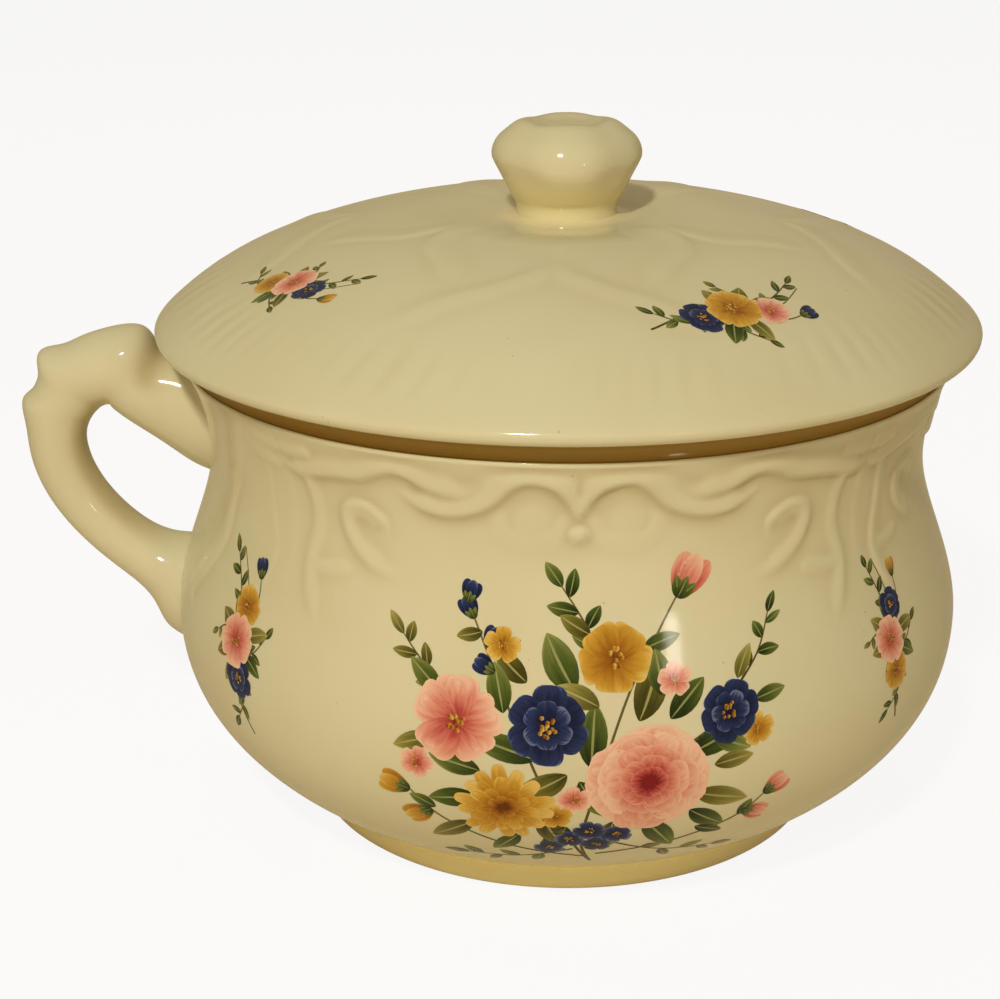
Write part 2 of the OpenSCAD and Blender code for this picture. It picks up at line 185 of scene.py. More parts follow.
def border(across, z):
    """How far the border stands out, at an angle from the middle of a panel."""
    x, y = across * MM_PER_DEGREE, z - NECK_Z
    total = np.zeros_like(x)
    for points, steep, gentle, height in STRANDS:
        total += ridge(x, y, np.array(points) * TO_MM, steep, gentle, height)**4
    bead = np.clip(1 - (x**2 + (y - BEAD_Y)**2) / BEAD_R**2, 0, 1)
    away = np.hypot(x - VOLUTE_X * MM_PER_DEGREE, y - VOLUTE_Y) / VOLUTE_R
    return (total + (BEAD_H * np.sqrt(bead))**4)**0.25 + VOLUTE_H * smooth(1 - away)


def relief(columns, z):
    """The border all round: half a panel, mirrored, with the handle's backing leaf in its place."""
    step = 360.0 / columns
    half = border(*np.broadcast_arrays(np.arange(round(PANEL / step) + 1) * step, z[:, None]))
    angle = np.arange(columns) * step
    h = half[:, np.round(np.abs((angle + PANEL) % (2 * PANEL) - PANEL) / step).astype(int)]
    at_handle = np.abs((angle - HANDLE_ANGLE + 180) % 360 - 180)
    h = h * rise(at_handle, BORDER_END, BORDER_FADE)
    near = at_handle < BACKING_END
    backing = np.zeros_like(h)
    backing[:, near] = ridge(*np.broadcast_arrays(at_handle[near] * MM_PER_DEGREE, z[:, None] - NECK_Z),
                             np.array(BACKING) * TO_MM, BACKING_STEEP, BACKING_GENTLE, BACKING_H)
    return np.maximum(h, backing)


def soften(h, passes):
    """Rounds a height field as glaze does; columns wrap round."""
    for _ in range(passes):
        h = (np.roll(h, 1, axis=1) + 2 * h + np.roll(h, -1, axis=1)) / 4
        p = np.pad(h, ((1, 1), (0, 0)), mode="edge")
        h = (p[:-2] + 2 * h + p[2:]) / 4
    return h


# Mesh makers. A shell that reaches the axis ends at CAP_R and is closed by one face
PLAIN_COLUMNS, CAP_R = 180, 0.3


def new_object(name, verts_mm, faces, materials, body):
    """A piece of a body, from vertices in millimetres."""
    mesh = bpy.data.meshes.new(name)
    mesh.from_pydata((np.asarray(verts_mm) * MM).tolist(), [], faces)
    mesh.shade_smooth()
    obj = bpy.data.objects.new(name, mesh)
    bpy.context.scene.collection.objects.link(obj)
    for material in materials:
        mesh.materials.append(material)
    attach(obj, body)
    return obj


def grid_faces(rows, columns, first=0, wrap=True):
    """Quads of a grid of vertices, closed round its columns if wrap is set."""
    i, j = np.meshgrid(np.arange(rows - 1), np.arange(columns if wrap else columns - 1), indexing="ij")
    k = (j + 1) % columns
    quads = np.stack([i * columns + j, i * columns + k, (i + 1) * columns + k, (i + 1) * columns + j], -1)
    return (quads.reshape(-1, 4) + first).tolist()


def ring_points(radius, height, columns):
    """Points of a turned shape whose rows may vary round the axis."""
    angle = np.radians(np.arange(columns) * 360.0 / columns)
    r = np.broadcast_to(radius, (len(radius), columns))
    z = np.broadcast_to(height, (len(height), columns))
    return np.stack([r * np.sin(angle), -r * np.cos(angle), z], -1).reshape(-1, 3)


def turned(name, shells, materials, body):
    """One object from several turned shells, each rows of radius and height and a tint value, partly
    pooled glaze and partly painted light and shade.
    """
    verts, faces, pools = [], [], []
    start = 0
    for radius, height, pool_and_painted_light in shells:
        rows, columns = pool_and_painted_light.shape
        verts.append(ring_points(radius, height, columns))
        faces += grid_faces(rows, columns, start)
        if np.max(radius[0]) < 2 * CAP_R:
            faces.append(list(range(start + columns - 1, start - 1, -1)))
        if np.max(radius[-1]) < 2 * CAP_R:
            faces.append(list(range(start + (rows - 1) * columns, start + rows * columns)))
        pools.append(pool_and_painted_light.reshape(-1))
        start += rows * columns
    obj = new_object(name, np.vstack(verts), faces, materials, body)
    store(obj, "pool_and_painted_light", np.concatenate(pools))
    return obj


def plain_shell(profile):
    """Shell without relief, from points of radius and height."""
    p = np.asarray(profile, float)
    return p[:, :1], p[:, 1:], np.zeros((len(p), PLAIN_COLUMNS))


def whole(values, columns):
    """Rows of a shell that are the same all round."""
    return np.repeat(np.asarray(values, float)[:, None], columns, axis=1)


def store(obj, name, values):
    """Keeps one value for each vertex, for the materials to read."""
    attribute = obj.data.attributes.new(name, "FLOAT", "POINT")
    attribute.data.foreach_set("value", np.asarray(values, np.float32))


# Materials
def nodes_of(name):
    """A new material with its node tree and shader."""
    material = bpy.data.materials.new(name)
    material.use_nodes = True
    tree = material.node_tree
    return material, tree, tree.nodes["Principled BSDF"]


def add(tree, kind, inputs=None, **settings):
    """A new node; each of its inputs is a socket to link or a constant."""
    node = tree.nodes.new(kind)
    for key, value in settings.items():
        setattr(node, key, value)
    for key, value in (inputs or {}).items():
        if isinstance(value, bpy.types.NodeSocket):
            tree.links.new(value, node.inputs[key])
        else:
            node.inputs[key].default_value = value
    return node


def math(tree, operation, a, b=0.0, clamp=False):
    return add(tree, "ShaderNodeMath", {0: a, 1: b}, operation=operation, use_clamp=clamp).outputs[0]


def ramp(tree, factor, stops):
    node = add(tree, "ShaderNodeValToRGB", {"Fac": factor})
    elements = node.color_ramp.elements
    while len(elements) < len(stops):
        elements.new(0.5)
    for element, (position, colour) in zip(elements, stops):
        element.position = position
        element.color = (*colour, 1.0)
    return node.outputs["Color"]


def blend(tree, factor, a, b):
    """Mix of two colours, each a socket or a constant."""
    a, b = [c if isinstance(c, bpy.types.NodeSocket) else (*c, 1.0) for c in (a, b)]
    return add(tree, "ShaderNodeMix", {0: factor, 6: a, 7: b}, data_type="RGBA").outputs[2]


def noise(tree, place, scale, detail):
    """Cloudy value between 0 and 1."""
    inputs = {"Vector": place, "Scale": scale, "Detail": detail}
    return add(tree, "ShaderNodeTexNoise", inputs).outputs["Fac"]


def glaze_finish(tree, bsdf):
    """Gloss of the glaze, with the faint ripple of a fired surface. It also lies over the prints."""
    place = add(tree, "ShaderNodeTexCoord").outputs["Object"]
    ripple = noise(tree, place, 90.0, 2.0)
    grain = noise(tree, place, 700.0, 2.0)
    height = math(tree, "ADD", ripple, math(tree, "MULTIPLY", grain, 0.12))
    bump = add(tree, "ShaderNodeBump", {"Height": height, "Strength": 0.12, "Distance": 0.0006})
    tree.links.new(bump.outputs["Normal"], bsdf.inputs["Normal"])
    rough = add(tree, "ShaderNodeMapRange", {"Value": ripple, "To Min": 0.06, "To Max": 0.14})
    tree.links.new(rough.outputs["Result"], bsdf.inputs["Roughness"])
    bsdf.inputs["IOR"].default_value = 1.45
    bsdf.inputs["Specular IOR Level"].default_value = 0.22
    return place


GLAZE_PALE, GLAZE_DEEP = (0.66, 0.605, 0.38), (0.615, 0.55, 0.325)
# First a brown, partly for glaze pooled in hollows and partly painted shade under ridges and in crevices;
# then a gold, partly for pooled glaze and partly painted warm bounce light
HOLLOW_POOL_AND_SHADE, POOLED_AND_BOUNCE_LIGHT = (0.40, 0.29, 0.10), (0.89, 0.76, 0.35)
# The specks are the glaze's own; the dark brown after them is painted shade where the lid is close above
SPECK, CREVICE_SHADE = (0.36, 0.26, 0.10), (0.30, 0.166, 0.021)


def glaze_material(name, painted_shade=False):
    """Cream glaze, with a brown tint for a value above zero, partly glaze pooled in hollows and partly
    painted shade, and a gold one for a value below zero, partly pooled glaze and partly painted bounce
    light. It can also darken where another surface is close, as under the lid, which is painted shade."""
    material, tree, bsdf = nodes_of(name)
    place = glaze_finish(tree, bsdf)
    cloud = noise(tree, place, 14.0, 3.0)
    colour = ramp(tree, cloud, [(0.32, GLAZE_DEEP), (0.68, GLAZE_PALE)])
    pool_and_painted_light = add(tree, "ShaderNodeAttribute", attribute_name="pool_and_painted_light").outputs["Fac"]
    # A positive value tints brown, partly pooled glaze and partly painted shade; a negative one tints
    # gold, partly pooled glaze and partly painted bounce light
    colour = blend(tree, math(tree, "MULTIPLY", pool_and_painted_light, 1.0, clamp=True), colour, HOLLOW_POOL_AND_SHADE)
    colour = blend(tree, math(tree, "MULTIPLY", pool_and_painted_light, -1.0, clamp=True), colour, POOLED_AND_BOUNCE_LIGHT)
    if painted_shade:
        # Painted shade: a dark brown where another surface is close, as under the lid
        near = add(tree, "ShaderNodeAmbientOcclusion", {"Distance": 0.012}, samples=16).outputs["AO"]
        shut = add(tree, "ShaderNodeMapRange", {"Value": near, "From Min": 0.92, "From Max": 0.74})
        colour = blend(tree, shut.outputs["Result"], colour, CREVICE_SHADE)
    cells = add(tree, "ShaderNodeTexVoronoi", {"Vector": place, "Scale": 260.0}).outputs["Distance"]
    rare = math(tree, "GREATER_THAN", noise(tree, place, 60.0, 2.0), 0.66)
    dots = math(tree, "MULTIPLY", math(tree, "LESS_THAN", cells, 0.09), rare)
    colour = blend(tree, math(tree, "MULTIPLY", dots, 0.4), colour, SPECK)
    tree.links.new(colour, bsdf.inputs["Base Color"])
    return material


def print_material(name, stops, vein=0.0, streaks=0.55):
    """Printed petal or leaf: a gradient from base to tip, with streaks and perhaps a light mid vein."""
    material, tree, bsdf = nodes_of(name)
    glaze_finish(tree, bsdf)
    uv = add(tree, "ShaderNodeUVMap").outputs["UV"]
    part = add(tree, "ShaderNodeSeparateXYZ", {"Vector": uv})
    along, across = part.outputs["X"], part.outputs["Y"]
    tone = add(tree, "ShaderNodeAttribute", attribute_name="tone").outputs["Fac"]
    edge = math(tree, "ABSOLUTE", math(tree, "SUBTRACT", math(tree, "MULTIPLY", across, 2.0), 1.0))
    fine = add(tree, "ShaderNodeCombineXYZ", {"X": math(tree, "MULTIPLY", along, 2.2),
                                              "Y": math(tree, "MULTIPLY", across, 9.0),
                                              "Z": math(tree, "MULTIPLY", tone, 37.0)}).outputs["Vector"]
    streak = noise(tree, fine, 1.0, 3.0)
    level = math(tree, "MULTIPLY", along, 0.8)
    level = math(tree, "ADD", level, math(tree, "MULTIPLY", math(tree, "POWER", edge, 3.0), 0.18))
    level = math(tree, "ADD", level, math(tree, "MULTIPLY", math(tree, "SUBTRACT", streak, 0.5), streaks))
    shade = math(tree, "MULTIPLY", math(tree, "SUBTRACT", tone, 0.55), 0.7)
    level = math(tree, "ADD", level, shade, clamp=True)
    colour = ramp(tree, level, stops)
    if vein:
        line = math(tree, "LESS_THAN", edge, 0.09)
        colour = blend(tree, math(tree, "MULTIPLY", line, vein), colour, stops[-1][1])
    tree.links.new(colour, bsdf.inputs["Base Color"])
    return material


glaze = glaze_material("cream_glaze")
# Glaze with painted shade, for the rim under the lid
rim_glaze_painted_shade = glaze_material("rim_glaze_painted_shade", painted_shade=True)
PINK, BLUE, OCHRE, GREEN, OLIVE, STEM, HEART = range(7)
prints = [
    print_material("print_pink", [(0.0, (0.20, 0.012, 0.012)), (0.3, (0.46, 0.07, 0.055)),
                                  (0.62, (0.66, 0.24, 0.15)), (1.0, (0.80, 0.50, 0.33))]),
    print_material("print_blue", [(0.0, (0.002, 0.003, 0.010)), (0.5, (0.008, 0.013, 0.045)),
                                  (0.85, (0.022, 0.034, 0.10)), (1.0, (0.12, 0.15, 0.25))]),
    print_material("print_ochre", [(0.0, (0.13, 0.03, 0.004)), (0.35, (0.34, 0.125, 0.009)),
                                   (0.75, (0.53, 0.28, 0.028)), (1.0, (0.68, 0.45, 0.11))]),
    print_material("print_green", [(0.0, (0.018, 0.028, 0.005)), (0.4, (0.065, 0.09, 0.014)),
                                   (0.8, (0.18, 0.20, 0.045)), (1.0, (0.34, 0.35, 0.12))], vein=0.7),
    print_material("print_olive", [(0.0, (0.05, 0.045, 0.006)), (0.4, (0.14, 0.12, 0.02)),
                                   (0.8, (0.28, 0.24, 0.055)), (1.0, (0.44, 0.39, 0.14))], vein=0.7),
    print_material("print_stem", [(0.0, (0.06, 0.045, 0.01)), (1.0, (0.20, 0.16, 0.05))]),
    print_material("print_heart", [(0.0, (0.12, 0.03, 0.003)), (0.5, (0.42, 0.2, 0.015)),
                                   (1.0, (0.72, 0.5, 0.12))], streaks=0.8),
]

# Pot: brown in the relief's hollows, partly pooled glaze and partly painted shade under the ridges, and
# gold at the foot, partly pooled glaze and partly painted warm bounce light
COLUMNS, PLAIN_ROWS, RIM_STEPS, CORNER = 960, 32, 6, 0.1
FOOT_LINE = [(66.0, FOOT_HOLLOW), (67.6, 1.2), (68.6, 0.2), (69.6, 0.0), (75.0, 0.0), (76.0, 0.3),
             (76.45, 1.1), (76.55, 2.6), (76.5, 5.0), (76.3, 6.2), (76.05, 6.9), (76.2, 7.4),
             (77.0, 7.9), (78.1, 8.25)]
WALL_LOW, WALL_HIGH = 8.7, LEDGE_Z - RIM_ROUND
RELIEF_LOW, RELIEF_STEP, RELIEF_FADE = 68.0, 0.72, 4.0
HOLLOW_PASSES, HOLLOW_GAIN, HOLLOW_MOST = 22, 1.7, 0.55
# Gold on the foot and low on the wall: partly pooled glaze, partly painted warm bounce light from below
FOOT_CREASE_Z, FOOT_GOLD, GOLD_TOP, GOLD_FADE = 5.5, 0.8, 18.0, 9.0
levels = np.concatenate([np.linspace(WALL_LOW, RELIEF_LOW - 1, PLAIN_ROWS),
                         np.arange(RELIEF_LOW, WALL_HIGH - RELIEF_STEP / 2, RELIEF_STEP), [WALL_HIGH]])
fade = rise(levels, RELIEF_LOW, RELIEF_FADE) * rise(-levels, -WALL_HIGH, RELIEF_FADE)
height_map = soften(relief(COLUMNS, levels) * fade[:, None], 1)
# Brown in the relief's hollows: partly glaze pooled there, partly painted shade under the ridges
hollows_pool_and_shade = np.clip((soften(height_map, HOLLOW_PASSES) - height_map) * HOLLOW_GAIN, 0, HOLLOW_MOST)
slope = wall_slope(levels)[:, None]
tilt = np.sqrt(1 + slope**2)
wall_rows = wall_r(levels)[:, None] + height_map / tilt
wall_heights = levels[:, None] - height_map * slope / tilt
foot = np.array(FOOT_LINE)
mouth_r, well_r = float(inner_r(POT_H)), float(inner_r(FLOOR_Z))
ledge_edge, ledge_r = float(wall_r(LEDGE_Z)), mouth_r + LEDGE_T
rim = np.vstack([
    arc((float(wall_r(WALL_HIGH)), WALL_HIGH), (ledge_edge, LEDGE_Z), (ledge_edge - RIM_ROUND, LEDGE_Z),
        RIM_STEPS)[1:],
    [(ledge_r + CORNER, LEDGE_Z), (ledge_r, LEDGE_Z + CORNER), (ledge_r, LEDGE_Z + LEDGE_H / 2)],
    arc((ledge_r, POT_H - LEDGE_ROUND), (ledge_r, POT_H), (ledge_r - LEDGE_ROUND, POT_H), 4),
])
# Gold on the foot and the lower wall, partly pooled glaze and partly painted warm bounce light
foot_pool_and_light = np.where(foot[:, 1] > FOOT_CREASE_Z, -1.0, -FOOT_GOLD)
wall_pool_and_light = hollows_pool_and_shade - FOOT_GOLD * smooth((GOLD_TOP - levels) / GOLD_FADE)[:, None]
outside = (np.vstack([whole(foot[:, 0], COLUMNS), wall_rows, whole(rim[:, 0], COLUMNS)]),
           np.vstack([whole(foot[:, 1], COLUMNS), wall_heights, whole(rim[:, 1], COLUMNS)]),
           np.vstack([whole(foot_pool_and_light, COLUMNS), wall_pool_and_light, np.zeros((len(rim), COLUMNS))]))
inner_levels = np.linspace(POT_H - RIM_ROUND, FLOOR_Z + WELL_RISE, 40)
inside_line = np.vstack([
    [(ledge_r - LEDGE_ROUND, POT_H)],
    arc((mouth_r + RIM_ROUND, POT_H), (mouth_r, POT_H),
        (float(inner_r(POT_H - RIM_ROUND)), POT_H - RIM_ROUND), 5),
    np.c_[inner_r(inner_levels), inner_levels][1:],
    arc((float(inner_r(FLOOR_Z + WELL_RISE)), FLOOR_Z + WELL_RISE), (well_r, FLOOR_Z),
        (well_r - WELL_RISE, FLOOR_Z), 6)[1:],
    [(30.0, FLOOR_Z), (CAP_R, FLOOR_Z)],
])
under_line = [(CAP_R, FOOT_HOLLOW), (40.0, FOOT_HOLLOW), FOOT_LINE[0]]
pot = turned("pot_skin", [outside, plain_shell(inside_line), plain_shell(under_line)],
             [glaze, rim_glaze_painted_shade], "pot")
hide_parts("pot_body", "scroll_border")
# From the middle of the rim's rounding up, the glaze is the one with painted shade, which darkens it under
# the lid
rim_row = len(foot) + len(levels) + RIM_STEPS // 2
glazes = np.zeros(len(pot.data.polygons), np.int32)
glazes[rim_row * COLUMNS:(len(outside[2]) - 1) * COLUMNS] = 1
pot.data.polygons.foreach_set("material_index", glazes)

# Lid: a dip round the knob, low ribs that run out from it, and fine flutes near the edge
LID_COLUMNS, LID_TURN = 480, -5.0
# A point is an angle from the middle of a panel, in degrees, and a radius
LID_RIBS = [[(0.5, 60.0), (6.0, 67.0), (13.0, 74.0), (20.0, 81.0), (26.0, 93.0)],
            [(44.0, 30.0), (43.0, 45.0), (38.0, 55.0), (29.0, 62.0), (22.0, 71.0)]]
RIB_STEEP, RIB_GENTLE, RIB_H = 2.6, 9.0, 0.42
FLUTES, FLUTE_R, FLUTE_W, FLUTE_H, FLUTE_LEAN = 88, 106.0, 7.0, 0.38, 0.12
DIP_R, DIP_W, DIP_H = 46.0, 32.0, 3.4
FILLET_R, FILLET_W, FILLET_H = 20.0, 6.0, 1.3
# The edge that shows is thinner than the solid's, and its widest line is lower
EDGE_R, EDGE_Z, EDGE_DROP, EDGE_DROP_W = 117.6, 145.3, 2.5, 21.0
LID_FADE, LID_PASSES, LID_GAIN, LID_MOST = 3.0, 30, 1.2, 0.4
# Bevel of the flange, whose solid has sharp edges
FLANGE_BEVEL = 1.0
# Gold round the stem: partly glaze pooled there, partly painted light
STEM_GOLD, STEM_GOLD_R, STEM_GOLD_W = 0.4, 15.0, 4.0


def lid_relief(angle, r):
    """Height of the ribs, mirrored in four panels, and of the flutes, which are strongest at the sides and
    uneven in their spacing and height."""
    x_angle = np.abs((angle - LID_TURN + PANEL) % (2 * PANEL) - PANEL)
    x, y = r * np.sin(np.radians(x_angle)), r * np.cos(np.radians(x_angle))
    h = np.zeros_like(x)
    for rib in LID_RIBS:
        a, s = np.radians([p[0] for p in rib]), np.array([p[1] for p in rib])
        h += ridge(x, y, np.c_[s * np.sin(a), s * np.cos(a)], RIB_STEEP, RIB_GENTLE, RIB_H)
    lean = angle + FLUTE_LEAN * (r - FLUTE_R)
    ripple = np.sin(np.radians(FLUTES * lean) + 2.4 * np.sin(np.radians(7 * angle)))
    near = np.exp(-((r - FLUTE_R) / FLUTE_W)**2) * (0.3 + 0.7 * np.sin(np.radians(angle))**2)
    return h + FLUTE_H * near * ripple * (0.6 + 0.4 * np.sin(np.radians(11 * angle)))


# Radius of each row, from the edge to the middle; the rows are closest round the stem
run = np.concatenate([np.linspace(DOME_R, 92.0, 30), np.linspace(91.5, 28.0, 90),
                      np.linspace(27.5, 12.0, 40), np.linspace(11.0, CAP_R, 4)])
lid_angles = np.arange(LID_COLUMNS) * 360.0 / LID_COLUMNS
lid_map = lid_relief(*np.broadcast_arrays(lid_angles[None, :], run[:, None]))
lid_map = soften(lid_map * smooth((DOME_R - run) / LID_FADE)[:, None], 2)
# Brown in the hollows of the ribs and flutes: partly pooled glaze, partly painted shade
lid_pool_and_light = np.clip((soften(lid_map, LID_PASSES) - lid_map) * LID_GAIN, 0, LID_MOST)
# Gold round the stem, partly pooled glaze and partly painted light
lid_pool_and_light = lid_pool_and_light - STEM_GOLD * np.exp(-((run - STEM_GOLD_R) / STEM_GOLD_W)**2)[:, None]
lid_map += (FILLET_H * np.clip((FILLET_R - run) / FILLET_W, 0, 1)**2
            - DIP_H * smooth((DIP_R - run) / DIP_W)
            - EDGE_DROP * np.clip((run - DOME_R + EDGE_DROP_W) / EDGE_DROP_W, 0, 1)**2)[:, None]
edge_slope = DOME_SLOPE + 2 * EDGE_DROP / EDGE_DROP_W
edge_line = np.vstack([
    arc((LID_R - LID_EDGE_W, POT_H), (EDGE_R, POT_H), (EDGE_R, EDGE_Z), 7),
    arc((EDGE_R, EDGE_Z), (EDGE_R, DOME_Z - EDGE_DROP - edge_slope * (EDGE_R - DOME_R)),
        (DOME_R, DOME_Z - EDGE_DROP), 7)[1:-1],
])
lid_top = (np.vstack([whole(edge_line[:, 0], LID_COLUMNS), whole(run, LID_COLUMNS)]),
           np.vstack([whole(edge_line[:, 1], LID_COLUMNS), dome_z(run)[:, None] + lid_map]),
           np.vstack([np.zeros((len(edge_line), LID_COLUMNS)), lid_pool_and_light]))
flange_z = POT_H - FLANGE_H
flange_r = float(inner_r(flange_z)) - FLANGE_CLEAR
flange_in = flange_r - FLANGE_T
under_r = np.linspace(CAP_R, flange_in, 28)
under_slope = (dome_z(under_r + 0.05) - dome_z(under_r - 0.05)) / 0.1
lid_under = np.vstack([
    np.c_[under_r, dome_z(under_r) - LID_WALL * np.sqrt(1 + under_slope**2)],
    [(flange_in, flange_z + FLANGE_BEVEL), (flange_in + FLANGE_BEVEL, flange_z),
     (flange_r - FLANGE_BEVEL, flange_z), (flange_r, flange_z + FLANGE_BEVEL),
     (flange_r, POT_H), (LID_R - LID_EDGE_W, POT_H)],
])
lid = turned("lid_skin", [lid_top, plain_shell(lid_under)], [glaze], "lid")
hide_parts("lid")

# Knob: a cup with four soft petals on a stem, as radius and height along the middle of a side petal, of
# the front or back petal, which hangs lower, and of the groove between them
KNOB_STEM = [(15.4, -4.8), (14.8, -3.4), (14.3, -1.8), (14.2, -0.2), (14.6, 1.3)]
KNOB_SIDE = [(15.7, 3.0), (16.9, 5.2), (18.0, 7.4), (19.3, 10.0), (20.5, 12.3), (21.2, 14.2),
             (20.9, 16.6), (19.6, 19.0)]
KNOB_FRONT = [(15.8, 2.7), (17.2, 4.5), (18.6, 6.5), (19.9, 8.5), (20.8, 10.4), (21.2, 12.6),
              (20.8, 15.7), (19.4, 18.7)]
KNOB_DISH = [(17.4, 21.0), (14.4, 23.2), (11.6, 24.0), (9.6, 23.8), (6.0, 23.1), (CAP_R, 22.9)]
KNOB_GROOVE = [(15.6, 3.0), (16.7, 5.0), (17.7, 7.2), (18.6, 9.6), (19.4, 11.8), (19.8, 13.8),
               (19.4, 16.5), (18.0, 19.1), (16.1, 21.0), (13.8, 22.8), (11.4, 23.5), (9.5, 23.4),
               (6.0, 22.9), (CAP_R, 22.9)]
KNOB_SIDES, KNOB_ROWS, PETALS, GROOVE_SHARPNESS = 144, 120, 4, 1.8
# Gold low on the knob, partly pooled glaze and partly painted bounce light on its underside, and a line of
# painted shade round its dish
KNOB_GOLD, KNOB_GOLD_Z, KNOB_GOLD_W = 0.55, 3.0, 8.0
DISH_SHADE, DISH_SHADE_R, DISH_SHADE_W, DISH_LOW = 0.3, 11.0, 1.2, 20.0
knob_steps = np.linspace(0, len(KNOB_STEM + KNOB_GROOVE) - 1, KNOB_ROWS)
side_line, front_line, groove_line = [
    spline(KNOB_STEM + upper, knob_steps)[:, None]
    for upper in (KNOB_SIDE + KNOB_DISH, KNOB_FRONT + KNOB_DISH, KNOB_GROOVE)]
knob_turn = np.radians(np.arange(KNOB_SIDES) * 360.0 / KNOB_SIDES)[None, :, None]
facing, groove = np.cos(knob_turn)**2, ((1 - np.cos(PETALS * knob_turn)) / 2)**GROOVE_SHARPNESS
knob_line = (side_line * (1 - facing) + front_line * facing) * (1 - groove) + groove_line * groove
knob_r, knob_z = knob_line[..., 0], knob_line[..., 1]
# Gold low down, partly pooled glaze and partly painted bounce light, and painted shade round the dish
knob_pool_and_light = (-KNOB_GOLD * np.exp(-((knob_z - KNOB_GOLD_Z) / KNOB_GOLD_W)**2)
             + DISH_SHADE * np.exp(-((knob_r - DISH_SHADE_R) / DISH_SHADE_W)**2) * (knob_z > DISH_LOW))
knob = turned("knob_skin", [(knob_r, knob_z + DOME_TOP, knob_pool_and_light)], [glaze], "lid")
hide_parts("lid_knob")

# Handle: the solid's centre line and sections, with more rings and sides and a slight dip beside the lid
CROWN_T, GRIP_T, GRIP_W, ARM_SWELL = 22.4, 16.6, 19.0, 1.9
UPPER_DROP, LOWER_Z, FLARE_LEN = 24.6, 62.0, 4.0
UPPER_BURY, LOWER_BURY = 5.0, 10.0
UPPER_SIZE, LOWER_SIZE = np.array([40.8, 34.0]) / 2, np.array([29.8, 30.0]) / 2
CROWN_OUT, CROWN_DROP, GRIP_OUT, GRIP_DROP = 15.2, 12.0, 33.2, 33.8
UPPER_Z = POT_H - UPPER_DROP
UPPER_END = np.array([float(wall_r(UPPER_Z)) - UPPER_BURY, UPPER_Z])
LOWER_END = np.array([float(wall_r(LOWER_Z)) - LOWER_BURY, LOWER_Z])
CROWN = np.array([LID_R + CROWN_OUT, POT_H - CROWN_DROP])
GRIP = np.array([LID_R + GRIP_OUT, POT_H - GRIP_DROP])
# Ends of each part of the centre line, and how it leaves and reaches them
PARTS = [(UPPER_END, CROWN, (40.0, -4.2), (19.4, 0.0)), (CROWN, GRIP, (31.2, 0.0), (0.0, -33.0)),
         (GRIP, LOWER_END, (0.0, -65.2), (-49.5, -9.4))]
# Half the height and half the width of the sections, at even stations along the parts
STATIONS_PER_PART = 2
ARM_SIZES = np.array([
    (CROWN_T / 2 + ARM_SWELL, GRIP_W / 2 + 2 * ARM_SWELL),
    (CROWN_T / 2 + ARM_SWELL, GRIP_W / 2 + ARM_SWELL),
    (CROWN_T / 2, GRIP_W / 2 + ARM_SWELL),
    ((CROWN_T + GRIP_T) / 4, GRIP_W / 2),
    (GRIP_T / 2, GRIP_W / 2),
    (GRIP_T / 2 - ARM_SWELL / 4, GRIP_W / 2),
    (GRIP_T / 2, GRIP_W / 2 + ARM_SWELL),
])
# Place along the handle, spread before and after it, and height
SWELLINGS = [(0.85, 0.13, 0.13, 2.5), (1.43, 0.10, 0.065, 4.2), (1.72, 0.045, 0.13, 2.4),
             (3.0, 0.18, 0.18, 4.6), (0.62, 0.12, 0.12, -2.6)]
HANDLE_RINGS, HANDLE_SIDES = 220, 72
# Painted shade along the inside of the grip and in the dip beside the lid. Each pair is a place and a
# spread, along the handle or, for a side, in the cosine of the angle round its section, which is 1 on the
# outside
GRIP_START, GRIP_END, GRIP_SIDE, GRIP_SHADE = (0.85, 0.3), (2.4, 0.4), (0.5, 0.4), 0.5
DIP_PLACE, DIP_SIDE, DIP_SHADE = (0.66, 0.13), (-0.1, 0.6), 0.55


def handle_line(u):
    """Point of the centre line, as distance from the axis and height, with one unit of u for each part."""
    i = min(int(u), len(PARTS) - 1)
    a, b, pull_a, pull_b = PARTS[i]
    return hermite(u - i, a, b, np.array(pull_a), np.array(pull_b))


def handle_station(u):
    """Inner and outer point of the section at u, in the handle's plane, and half its width."""
    e = 0.001
    u = min(max(u, e), len(PARTS) - e)
    way = handle_line(u + e) - handle_line(u - e)
    out = np.array([-way[1], way[0]]) / np.linalg.norm(way)
    at = handle_line(u)
    to_upper = max(0.0, np.linalg.norm(at - UPPER_END) - UPPER_BURY)
    to_lower = max(0.0, np.linalg.norm(at - LOWER_END) - LOWER_BURY)
    size = spline(ARM_SIZES, np.array([u * STATIONS_PER_PART]))[0]
    upper, lower = np.exp(-to_upper / FLARE_LEN), np.exp(-to_lower / FLARE_LEN)
    size = size + (UPPER_SIZE - size) * upper + (LOWER_SIZE - size) * lower
    swell = sum(height * np.exp(-((u - place) / (before if u < place else after))**2)
                for place, before, after, height in SWELLINGS)
    return [*(at - out * size[0]), *(at + out * (size[0] + swell)), size[1]]


def evened(values, spread):
    """Gaussian mean along the rows, with the ends held."""
    reach = np.arange(-3 * spread, 3 * spread + 1)
    weight = np.exp(-0.5 * (reach / spread)**2)
    padded = np.pad(values, ((3 * spread, 3 * spread), (0, 0)), mode="reflect", reflect_type="odd")
    return np.stack([np.convolve(c, weight / weight.sum(), mode="valid") for c in padded.T], 1)


